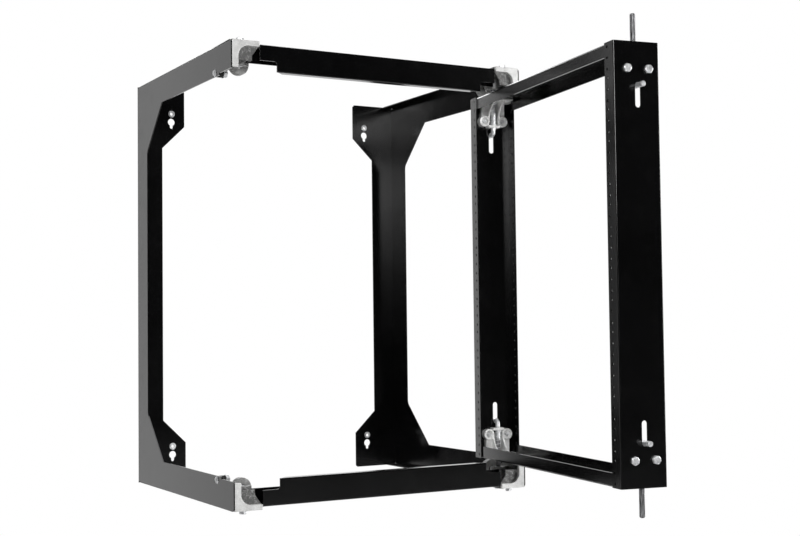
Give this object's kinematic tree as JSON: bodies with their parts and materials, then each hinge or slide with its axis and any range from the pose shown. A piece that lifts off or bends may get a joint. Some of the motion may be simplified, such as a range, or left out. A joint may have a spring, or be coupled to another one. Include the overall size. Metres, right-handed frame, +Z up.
{
  "type": "swing gate wall rack",
  "caption": "Open wall-mounted rack frame with a hinged gate that carries 19 inch equipment and locks with spring pins.",
  "frame": {"origin": "centre of the four wall bushes, on the wall's face", "axes": "+X to the viewer's right, +Y into the wall, +Z up"},
  "size_m": [0.5452, 0.9162, 0.7372],
  "materials": {
    "black_coat": "satin black powder coat",
    "cast_metal": "bare light grey casting",
    "zinc_plate": "bright zinc plate",
    "rubber_sleeve": "matt black rubber"
  },
  "bodies": {
    "wall_frame": {"left_side_panel": "black_coat", "right_side_panel": "black_coat", "top_crossbar": "black_coat", "bottom_crossbar": "black_coat", "top_left_casting": "cast_metal", "top_right_casting": "cast_metal", "bottom_left_casting": "cast_metal", "bottom_right_casting": "cast_metal", "pin_bushes": "zinc_plate", "wall_bushes": "zinc_plate", "stop_bolts": "zinc_plate", "stop_sleeves": "rubber_sleeve", "stop_washers": "zinc_plate", "stop_nuts": "zinc_plate", "frame_screws": "zinc_plate"},
    "gate": {"hinge_upright": "black_coat", "latch_upright": "black_coat", "gate_top_crossbar": "black_coat", "gate_bottom_crossbar": "black_coat", "top_hinge_bracket": "cast_metal", "top_latch_bracket": "cast_metal", "bottom_hinge_bracket": "cast_metal", "bottom_latch_bracket": "cast_metal", "gate_hex_bolts": "zinc_plate", "gate_screws": "zinc_plate", "top_hinge_spring": "zinc_plate", "top_latch_spring": "zinc_plate", "bottom_hinge_spring": "zinc_plate", "bottom_latch_spring": "zinc_plate"},
    "top_hinge_pin": {"top_hinge_pin": "zinc_plate", "top_hinge_collar": "zinc_plate"},
    "top_latch_pin": {"top_latch_pin": "zinc_plate", "top_latch_collar": "zinc_plate"},
    "bottom_hinge_pin": {"bottom_hinge_pin": "zinc_plate", "bottom_hinge_collar": "zinc_plate"},
    "bottom_latch_pin": {"bottom_latch_pin": "zinc_plate", "bottom_latch_collar": "zinc_plate"}
  },
  "joints": [
    {"name": "gate_swing", "type": "hinge", "parent": "wall_frame", "child": "gate", "pos_m": [0.23875, -0.4184, 0], "axis": [0, 0, 1], "range_deg": [-80.8, 99.2]},
    {"name": "top_hinge_pin_slide", "type": "slide", "parent": "gate", "child": "top_hinge_pin", "axis": [0, 0, -1], "range_m": [0, 0.027], "stiffness_N_per_m": 300, "springref_m": -0.02, "deforming": ["top_hinge_spring"]},
    {"name": "top_latch_pin_slide", "type": "slide", "parent": "gate", "child": "top_latch_pin", "axis": [0, 0, -1], "range_m": [0, 0.027], "stiffness_N_per_m": 300, "springref_m": -0.02, "deforming": ["top_latch_spring"]},
    {"name": "bottom_hinge_pin_slide", "type": "slide", "parent": "gate", "child": "bottom_hinge_pin", "axis": [0, 0, 1], "range_m": [0, 0.027], "stiffness_N_per_m": 300, "springref_m": -0.02, "deforming": ["bottom_hinge_spring"]},
    {"name": "bottom_latch_pin_slide", "type": "slide", "parent": "gate", "child": "bottom_latch_pin", "axis": [0, 0, 1], "range_m": [0, 0.027], "stiffness_N_per_m": 300, "springref_m": -0.02, "deforming": ["bottom_latch_spring"]}
  ]
}
